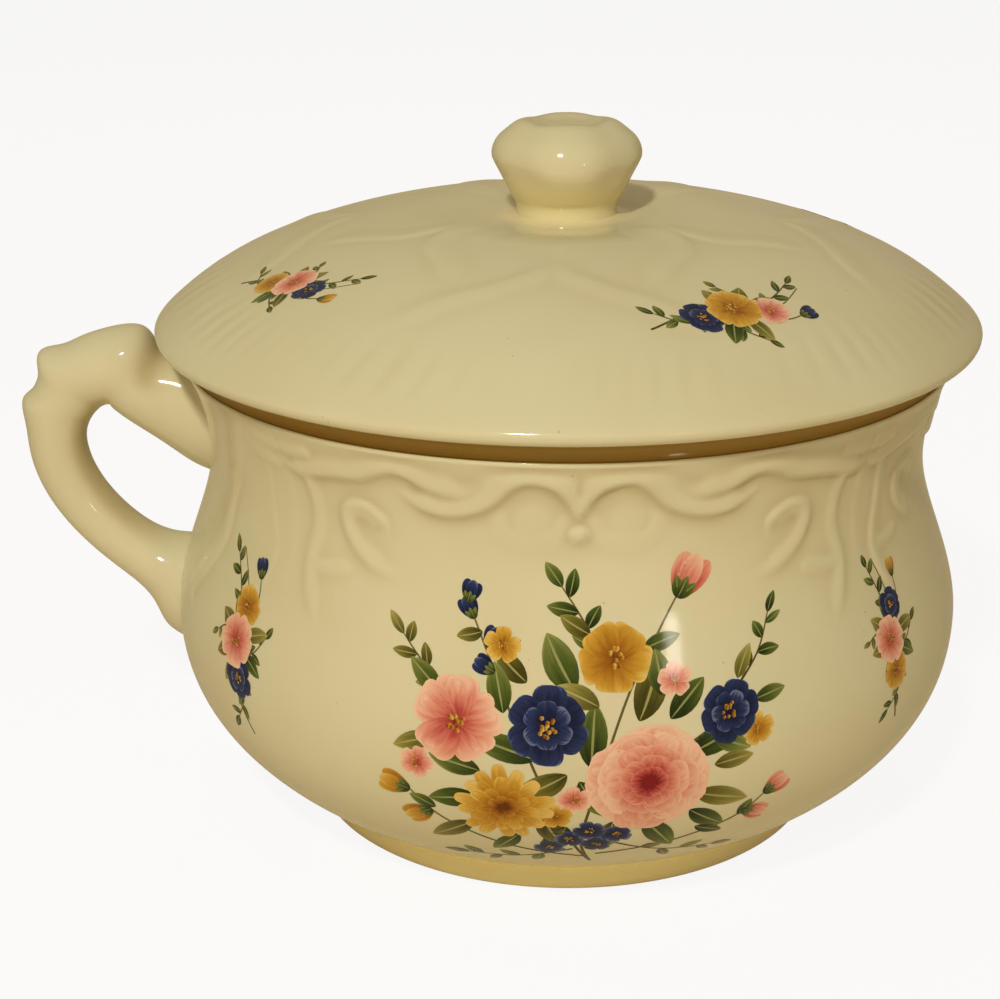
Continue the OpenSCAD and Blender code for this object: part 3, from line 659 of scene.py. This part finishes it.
along = np.linspace(0, len(PARTS), HANDLE_RINGS + 1)
stations = np.array([handle_station(u) for u in along])
inner, outer = evened(stations[:, :2], 7), evened(stations[:, 2:4], 2)
handle_w = evened(stations[:, 4:], 5)
side = np.radians(np.arange(HANDLE_SIDES) * 360.0 / HANDLE_SIDES)
middle, half = (inner + outer) / 2, (outer - inner) / 2
flat = middle[:, None] + half[:, None] * np.cos(side)[None, :, None]
handle_points = np.stack([-flat[..., 0], handle_w * np.sin(side), flat[..., 1]], -1).reshape(-1, 3)
handle_faces = [f[::-1] for f in grid_faces(HANDLE_RINGS + 1, HANDLE_SIDES)]
last = HANDLE_RINGS * HANDLE_SIDES
handle_faces += [list(range(HANDLE_SIDES)), [last + k for k in range(HANDLE_SIDES - 1, -1, -1)]]
handle = new_object("handle_skin", handle_points, handle_faces, [glaze], "pot")
# Painted shade inside the grip and in the dip beside the lid
shaded_grip = rise(along, *GRIP_START) * (1 - rise(along, *GRIP_END))
shaded_grip = shaded_grip[:, None] * rise(-np.cos(side), *GRIP_SIDE)
shaded_dip = np.exp(-((along - DIP_PLACE[0]) / DIP_PLACE[1])**2)[:, None] * rise(np.cos(side), *DIP_SIDE)
store(handle, "pool_and_painted_light", (GRIP_SHADE * shaded_grip + DIP_SHADE * shaded_dip).ravel())
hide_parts("handle")

# Prints: petals, leaves and stems drawn flat in millimetres, then laid over the glaze in thin layers
LAYER_BASE, LAYER_STEP = 0.03, 0.004
BLADE_ROWS, BLADE_COLUMNS, HEART_DOTS = 13, 9, 14
# Share of a sprig's stem that is bare, and how far its leaves lean from the stem
SPRIG_BARE, SPRIG_LEAN = 0.3, 48
dice = np.random.default_rng(11)


def blade(sheet, at, turn, length, width, ink, tone, full=0.6, tip=0.4, notch=0.0, bend=0.0):
    """One petal or leaf from its base. full and tip shape its two ends, and notch dents the tip."""
    t = (1 - np.cos(np.linspace(0, np.pi, BLADE_ROWS))) / 2
    u, v = np.meshgrid(t, np.linspace(-1, 1, BLADE_COLUMNS), indexing="ij")
    widest = full / (full + tip)
    girth = (u / widest)**full * ((1 - u) / (1 - widest))**tip
    along = length * u * (1 - notch * u**4 * (1 - np.abs(v))**2)
    across = 0.5 * width * girth * v + bend * length * u**2
    c, s = np.cos(np.radians(turn)), np.sin(np.radians(turn))
    xy = np.stack([at[0] + along * c - across * s, at[1] + along * s + across * c], -1)
    sheet.append((xy, np.stack([u, (v + 1) / 2], -1), ink, tone))


def leaf(sheet, at, turn, length, ink=GREEN):
    width = length * dice.uniform(0.42, 0.54)
    tone, bend = dice.uniform(0.1, 0.75), dice.uniform(-0.12, 0.12)
    blade(sheet, at, turn, length, width, ink, tone, 0.75, 0.85, bend=bend)


def stem(sheet, points, thick=0.9, thin=0.5):
    """A ribbon along a smooth line, which is returned."""
    t = np.linspace(0, len(points) - 1, 8 * len(points))
    line = spline(points, t)
    way = np.gradient(line, axis=0)
    side = np.c_[-way[:, 1], way[:, 0]] / np.linalg.norm(way, axis=1)[:, None]
    half = np.linspace(thick, thin, len(t))[:, None] / 2
    u = np.linspace(0, 1, len(t))
    uv = np.stack([np.c_[u, u], np.repeat([[0.0, 1.0]], len(t), 0)], -1)
    sheet.append((np.stack([line - side * half, line + side * half], 1), uv, STEM, 0.5))
    return line


def sprig(sheet, points, length, count, ink=GREEN):
    """A stem with leaves in turn on both sides and one at its tip."""
    line = stem(sheet, points, 0.7, 0.4)
    for k in range(count + 1):
        i = min(int(len(line) * (SPRIG_BARE + (1 - SPRIG_BARE) * k / count)), len(line) - 1)
        way = line[i] - line[i - 2]
        turn = np.degrees(np.arctan2(way[1], way[0]))
        lean = 0 if k == count else SPRIG_LEAN * (-1)**k
        leaf(sheet, line[i], turn + lean, length * dice.uniform(0.85, 1.1), ink)


def bloom(sheet, at, size, ink, rings, heart=0.0):
    """Rings of petals from the outside in: count, reach, breadth, tone, roundness of tip, notch. The
    heart, if any, is a cluster of dots."""
    for count, reach, breadth, tone, tip, notch in rings:
        first = dice.uniform(0, 360)
        for k in range(count):
            turn = first + 360 * k / count + dice.uniform(-5, 5)
            length = size * reach * dice.uniform(0.92, 1.04)
            shade, bend = tone + dice.uniform(-0.14, 0.14), dice.uniform(-0.06, 0.06)
            blade(sheet, at, turn, length, size * breadth, ink, shade, 0.6, tip, notch, bend)
    dot = 0.42 * heart * size
    for _ in range(HEART_DOTS if heart else 0):
        a, d = dice.uniform(0, 2 * np.pi), heart * size * np.sqrt(dice.uniform(0, 1))
        spot = (at[0] + d * np.cos(a) - dot / 2, at[1] + d * np.sin(a))
        blade(sheet, spot, 0, dot, dot, HEART, dice.uniform(0.1, 0.9), 0.5, 0.5)


def bud(sheet, at, turn, size, ink):
    """Three petals in three green sepals."""
    for lean, tone in ((-17, 0.4), (17, 0.55), (0, 0.75)):
        blade(sheet, at, turn + lean, size, 0.5 * size, ink, tone, 0.7, 0.5)
    for lean in (-30, 30, 0):
        blade(sheet, at, turn + lean, 0.5 * size, 0.24 * size, GREEN, 0.4, 0.7, 0.9)


# Rings of each kind of flower, as bloom takes them
PEONY = [(8, 1.0, 0.86, 0.78, 0.26, 0.10), (7, 0.84, 0.74, 0.66, 0.26, 0.12),
         (6, 0.66, 0.62, 0.54, 0.28, 0.10), (5, 0.48, 0.50, 0.38, 0.30, 0.10),
         (5, 0.30, 0.34, 0.16, 0.30, 0.0)]
MARIGOLD = [(14, 1.0, 0.32, 0.75, 0.32, 0.14), (13, 0.78, 0.29, 0.6, 0.32, 0.14),
            (10, 0.55, 0.25, 0.4, 0.32, 0.1), (7, 0.32, 0.2, 0.15, 0.35, 0.0)]
ANEMONE = [(6, 1.0, 0.84, 0.5, 0.3, 0.0), (6, 0.62, 0.5, 0.75, 0.35, 0.0)]
WILD = [(5, 1.0, 1.0, 0.72, 0.22, 0.2)]
BUTTERCUP = [(5, 1.0, 1.06, 0.7, 0.2, 0.0)]
TINY = [(5, 1.0, 0.86, 0.8, 0.24, 0.0)]


def front_spray():
    """The large spray: stems and sprigs first, then leaves, buds and flowers over them."""
    sheet = []
    stem(sheet, [(3, -47), (0, -30), (4, -8), (11, 14), (19, 30), (24, 39)])
    stem(sheet, [(3, -47), (-5, -24), (-15, 2), (-22, 20), (-27, 33)])
    stem(sheet, [(1, -42), (-18, -35), (-36, -24), (-45, -15)])
    stem(sheet, [(4, -40), (22, -35), (40, -27), (49, -19)])
    stem(sheet, [(12, -12), (26, 0), (37, 8), (44, 22)])
    sprig(sheet, [(6, 20), (1, 32), (-5, 42)], 7.5, 4)
    sprig(sheet, [(-30, 12), (-40, 20), (-46, 27)], 6.5, 4, OLIVE)
    sprig(sheet, [(40, 14), (46, 22), (49, 31)], 6.0, 4)
    sprig(sheet, [(8, -32), (22, -40), (36, -43)], 7.0, 4, OLIVE)
    sprig(sheet, [(-2, -36), (-16, -43), (-29, -44)], 7.0, 4)
    for x, y, turn, length, ink in [
            (-12, -2, 158, 17, GREEN), (-2, 16, 122, 16, GREEN), (14, 8, 66, 18, OLIVE),
            (27, -2, 24, 17, GREEN), (29, -14, -20, 16, OLIVE), (16, -22, -56, 17, GREEN),
            (-4, -24, -104, 15, GREEN), (-28, -24, -140, 15, OLIVE), (-26, -6, 168, 14, GREEN),
            (2, -4, 88, 17, GREEN), (-14, 18, 140, 11, OLIVE), (34, 2, -30, 11, GREEN),
            (-10, -20, -72, 14, OLIVE), (22, 8, 48, 13, GREEN), (-38, 2, 196, 12, OLIVE),
            (-36, 14, 140, 11, GREEN), (-27, -14, 196, 13, GREEN), (-16, -28, -120, 12, GREEN),
            (8, -22, -96, 14, OLIVE), (28, -20, -44, 13, GREEN), (34, -6, 8, 11, OLIVE),
            (45, 10, 10, 9, GREEN), (40, 16, 72, 9, OLIVE), (-4, -6, 216, 16, OLIVE),
            (-1, -8, -60, 15, GREEN), (4, 12, 150, 12, OLIVE), (15, 26, 20, 10, GREEN),
            (2, 30, 152, 9, OLIVE), (20, 14, 96, 12, GREEN), (-20, 10, 100, 13, GREEN),
            (30, -28, -30, 9, GREEN), (-38, -20, 150, 8, GREEN), (-22, 24, 40, 8, GREEN),
            (-25, 30, 200, 7, OLIVE), (42, -26, 60, 7, GREEN)]:
        leaf(sheet, (x, y), turn, length, ink)
    for x, y, turn in [(-27, 33, 118), (-24, 26, 60), (-22, 20, 150), (-29, 37, 70)]:
        bud(sheet, (x, y), turn, 6.0, BLUE)
    for x, y, turn in [(-45, -15, 165), (-39, -21, 215)]:
        bud(sheet, (x, y), turn, 9.0, OCHRE)
    for x, y, turn in [(49, -19, 35), (43, -24, -25)]:
        bud(sheet, (x, y), turn, 8.5, PINK)
    bud(sheet, (24, 38), 62, 12.0, PINK)
    for x, y in [(-3, -30), (4, -33), (9, -28), (2, -26), (-8, -35)]:
        bloom(sheet, (x, y), 4.2, BLUE, TINY, 0.3)
    for x, y, ink in [(-2, -14, PINK), (-7, -20, OCHRE), (23, 18, PINK), (-20, 27, OCHRE),
                      (46, 2, OCHRE), (-43, -6, PINK)]:
        bloom(sheet, (x, y), 4.6, ink, TINY, 0.3)
    bloom(sheet, (8, 24), 9.0, OCHRE, BUTTERCUP, 0.3)
    bloom(sheet, (38, 8), 8.5, BLUE, ANEMONE, 0.26)
    bloom(sheet, (-32, 7), 11.5, PINK, WILD, 0.24)
    bloom(sheet, (-9, 7), 10.5, BLUE, ANEMONE, 0.26)
    bloom(sheet, (-20, -17), 13.0, OCHRE, MARIGOLD)
    bloom(sheet, (17, -9), 16.5, PINK, PEONY)
    return sheet


def small_spray(span, kinds):
    """Three small flowers along x, with leaves, a bud and a curled stem; kinds gives their order."""
    def scaled(*points):
        return [(x * span, y * span) for x, y in points]

    sheet = []
    stem(sheet, scaled((-0.52, -0.06), (-0.2, 0.04), (0.2, -0.02), (0.5, 0.1)), 0.6, 0.35)
    sprig(sheet, scaled((0.1, 0), (0.3, 0.08), (0.46, 0.16)), 0.1 * span, 4)
    sprig(sheet, scaled((-0.1, 0), (-0.3, -0.04), (-0.44, 0.06)), 0.1 * span, 4)
    sprig(sheet, scaled((0, 0), (0.06, 0.14), (0.02, 0.24)), 0.08 * span, 3, OLIVE)
    sprig(sheet, scaled((0, 0), (-0.04, -0.12), (0.06, -0.22)), 0.09 * span, 3)
    for turn in (20, 60, 105, 150, 200, 240, 290, 335):
        a = np.radians(turn)
        at = (0.1 * span * np.cos(a), 0.05 * span * np.sin(a))
        leaf(sheet, at, turn, 0.19 * span, OLIVE if turn % 40 else GREEN)
    stem(sheet, scaled((0.1, 0), (0.24, -0.1), (0.36, -0.1)), 0.5, 0.35)
    bud(sheet, (0.36 * span, -0.1 * span), 8, 0.12 * span, kinds[0][0])
    places = [(-0.2, 0.0, 0.12), (0.2, -0.02, 0.11), (0.0, 0.04, 0.15)]
    for (x, y, size), (ink, rings, heart) in zip(places, kinds):
        bloom(sheet, (x * span, y * span), size * span, ink, rings, heart)
    return sheet


def sample(field, row, angle):
    """Value of a height map between its rows and columns."""
    count = field.shape[1]
    column = (angle % 360) * count / 360
    i, j = np.clip(row.astype(int), 0, len(field) - 2), column.astype(int) % count
    f, g, k = row - i, column - np.floor(column), (j + 1) % count
    return ((field[i, j] * (1 - g) + field[i, k] * g) * (1 - f)
            + (field[i + 1, j] * (1 - g) + field[i + 1, k] * g) * f)


def spun(x, y, turn):
    """Turns flat points about the middle of their print."""
    c, s = np.cos(np.radians(turn)), np.sin(np.radians(turn))
    return x * c - y * s, x * s + y * c


# Length along the wall up to each height, so that prints keep their shape
meridian_z = np.linspace(10.0, 138.0, 641)
meridian = np.cumsum(np.sqrt(1 + wall_slope(meridian_z)**2)) * (meridian_z[1] - meridian_z[0])


def on_pot(angle, height, turn=0.0):
    """Lays flat points on the pot's relief, with the middle of the print at an angle and height."""
    start = np.interp(height, meridian_z, meridian)

    def place(x, y, lift):
        x, y = spun(x, y, turn)
        z = np.interp(start + y, meridian, meridian_z)
        a = angle + np.degrees(x / wall_r(z))
        out = lift + sample(height_map, np.interp(z, levels, np.arange(len(levels))), a)
        m = wall_slope(z)
        k = np.sqrt(1 + m**2)
        r = wall_r(z) + out / k
        return np.c_[r * np.sin(np.radians(a)), -r * np.cos(np.radians(a)), z - out * m / k]
    return place


def on_lid(angle, radius, turn=0.0):
    """Lays flat points on the lid, with the middle of the print at an angle and radius."""
    def place(x, y, lift):
        x, y = spun(x, y, turn)
        r = radius - y
        a = angle + np.degrees(x / r)
        up = lift + sample(lid_map, np.interp(r, run[::-1], np.arange(len(run))[::-1]), a)
        return np.c_[r * np.sin(np.radians(a)), -r * np.cos(np.radians(a)), dome_z(r) + up]
    return place


def layers(sheet):
    """Layer of each shape: one above the highest earlier shape whose circle meets its own."""
    middles = [xy.reshape(-1, 2).mean(0) for xy, *_ in sheet]
    reaches = [np.linalg.norm(xy.reshape(-1, 2) - m, axis=1).max() for (xy, *_), m in zip(sheet, middles)]
    level = np.zeros(len(sheet))
    for i in range(1, len(sheet)):
        apart = np.linalg.norm(np.array(middles[:i]) - middles[i], axis=1)
        meets = apart < np.array(reaches[:i]) + reaches[i]
        level[i] = 1 + np.max(level[:i][meets], initial=-1)
    return level


def lay(name, sheet, place, body):
    """One piece from the shapes of a sheet, each with its ink as material."""
    verts, faces, uvs, inks, tones = [], [], [], [], []
    start = 0
    for level, (xy, uv, ink, tone) in zip(layers(sheet), sheet):
        rows, columns = xy.shape[:2]
        verts.append(place(xy[..., 0].ravel(), xy[..., 1].ravel(), LAYER_BASE + LAYER_STEP * level))
        quads = [f[::-1] for f in grid_faces(rows, columns, start, wrap=False)]
        faces += quads
        inks += [ink] * len(quads)
        uvs.append(uv.reshape(-1, 2))
        tones += [tone] * (rows * columns)
        start += rows * columns
    obj = new_object(name, np.vstack(verts), faces, prints, body)
    obj.data.polygons.foreach_set("material_index", inks)
    corners = np.empty(len(obj.data.loops), np.int32)
    obj.data.loops.foreach_get("vertex_index", corners)
    obj.data.uv_layers.new(name="UVMap").data.foreach_set("uv", np.vstack(uvs)[corners].ravel())
    store(obj, "tone", tones)


ROSY, NAVY, GOLD = (PINK, WILD, 0.24), (BLUE, ANEMONE, 0.26), (OCHRE, BUTTERCUP, 0.3)
lay("print_front", front_spray(), on_pot(0.5, 62.0), "pot")
lay("print_left", small_spray(50, [NAVY, GOLD, ROSY]), on_pot(-52, 73.0, 96), "pot")
lay("print_right", small_spray(44, [GOLD, NAVY, ROSY]), on_pot(49, 75.0, 84), "pot")
lay("print_lid_right", small_spray(48, [NAVY, ROSY, GOLD]), on_lid(27, 88.0), "lid")
lay("print_lid_left", small_spray(41, [GOLD, NAVY, ROSY]), on_lid(-58, 88.0, 12), "lid")
lay("print_lid_back_right", small_spray(34, [ROSY, NAVY, GOLD]), on_lid(117, 88.0, 8), "lid")
lay("print_lid_back_left", small_spray(48, [GOLD, ROSY, NAVY]), on_lid(-150, 88.0), "lid")

# Stage: a white floor and backdrop, which the glaze mirrors as a dim warm room
FLOOR_REACH, GLOW_SHARE = 8.0, 0.9
WHITE, MIRRORED = (1.0, 1.0, 1.0), (0.44, 0.35, 0.19)


def backdrop_rays(tree):
    """Whether a ray shows the backdrop, and the backdrop's colour for that ray."""
    path = add(tree, "ShaderNodeLightPath")
    seen = math(tree, "MAXIMUM", path.outputs["Is Camera Ray"], path.outputs["Is Glossy Ray"])
    seen = math(tree, "MAXIMUM", seen, path.outputs["Is Transmission Ray"])
    return seen, blend(tree, path.outputs["Is Camera Ray"], MIRRORED, WHITE)


floor_mesh = bpy.data.meshes.new("floor")
corners = [(x * FLOOR_REACH, y * FLOOR_REACH, 0.0) for x, y in ((-1, -1), (1, -1), (1, 1), (-1, 1))]
floor_mesh.from_pydata(corners, [], [(0, 1, 2, 3)])
floor = bpy.data.objects.new("floor", floor_mesh)
bpy.context.scene.collection.objects.link(floor)
white, tree, bsdf = nodes_of("white_floor")
bsdf.inputs["Base Color"].default_value = (0.88, 0.80, 0.64, 1.0)
bsdf.inputs["Roughness"].default_value = 0.9
seen, tint = backdrop_rays(tree)
glow = add(tree, "ShaderNodeEmission", {"Color": tint, "Strength": 1.0})
# Most of what shows is the glow, and the rest keeps the pot's shadow
veil = add(tree, "ShaderNodeMixShader", {0: math(tree, "MULTIPLY", seen, GLOW_SHARE)})
tree.links.new(bsdf.outputs["BSDF"], veil.inputs[1])
tree.links.new(glow.outputs["Emission"], veil.inputs[2])
tree.links.new(veil.outputs["Shader"], tree.nodes["Material Output"].inputs["Surface"])
floor_mesh.materials.append(white)

# Light: a lamp in front, one above and one behind, a low fill, a small one for the belly's highlight, and
# a soft world
scene = bpy.context.scene
world = bpy.data.worlds.new("room")
scene.world = world
world.use_nodes = True
tree = world.node_tree
seen, tint = backdrop_rays(tree)
ambient, backdrop = tree.nodes["Background"], add(tree, "ShaderNodeBackground")
ambient.inputs["Color"].default_value = (1.0, 0.77, 0.52, 1.0)
ambient.inputs["Strength"].default_value = 0.23
tree.links.new(tint, backdrop.inputs["Color"])
backdrop.inputs["Strength"].default_value = 1.0
both = add(tree, "ShaderNodeMixShader", {0: seen})
tree.links.new(ambient.outputs[0], both.inputs[1])
tree.links.new(backdrop.outputs[0], both.inputs[2])
tree.links.new(both.outputs[0], tree.nodes["World Output"].inputs["Surface"])
AIM = np.array([0.0, 0.0, 0.09])


def put_up(obj, right, up, back, at):
    """Places a lamp or camera by its axes."""
    obj.matrix_world = Matrix([[*v] for v in np.c_[right, up, back, at]] + [[0, 0, 0, 1]])
    scene.collection.objects.link(obj)


def lamp(name, azimuth, elevation, distance, size, watts, colour, mirrored=True):
    """Round area lamp that faces the pot, from angles in degrees and a distance in metres."""
    data = bpy.data.lights.new(name, "AREA")
    data.shape = "DISK"
    data.size = size
    data.energy = watts
    data.color = colour
    obj = bpy.data.objects.new(name, data)
    a, e = np.radians(azimuth), np.radians(elevation)
    back = np.array([np.sin(a) * np.cos(e), -np.cos(a) * np.cos(e), np.sin(e)])
    right = np.array([np.cos(a), np.sin(a), 0.0])
    put_up(obj, right, np.cross(back, right), back, back * distance + AIM)
    obj.visible_glossy = mirrored


lamp("lamp_front", -14.0, 42.0, 1.5, 0.12, 12.0, (1.0, 0.985, 0.92))
lamp("lamp_above", -84.0, 74.0, 1.3, 0.09, 0.6, (1.0, 0.95, 0.86), mirrored=False)
lamp("lamp_low", -8.0, 6.0, 1.6, 0.5, 2.3, (1.0, 0.9, 0.72), mirrored=False)
lamp("lamp_back", 180.0, 40.0, 1.7, 0.6, 4.0, (1.0, 0.95, 0.84), mirrored=False)
lamp("glint_right", 28.0, 12.0, 1.6, 0.12, 0.9, (1.0, 0.96, 0.9))

# Camera, as fitted to the photograph: place in metres, tilt and roll in degrees
EYE, TILT, ROLL = (-0.01939, -0.56286, 0.29070), 19.80835, 0.34223
camera = bpy.data.objects.new("camera", bpy.data.cameras.new("camera"))
camera.data.sensor_width = 36.0
camera.data.lens = 72.0
cos_tilt, sin_tilt = np.cos(np.radians(TILT)), np.sin(np.radians(TILT))
cos_roll, sin_roll = np.cos(np.radians(ROLL)), np.sin(np.radians(ROLL))
level, upright = np.array([1.0, 0.0, 0.0]), np.array([0.0, sin_tilt, cos_tilt])
put_up(camera, level * cos_roll - upright * sin_roll, level * sin_roll + upright * cos_roll,
       np.array([0.0, -cos_tilt, sin_tilt]), EYE)
scene.camera = camera
scene.view_settings.view_transform = "Standard"
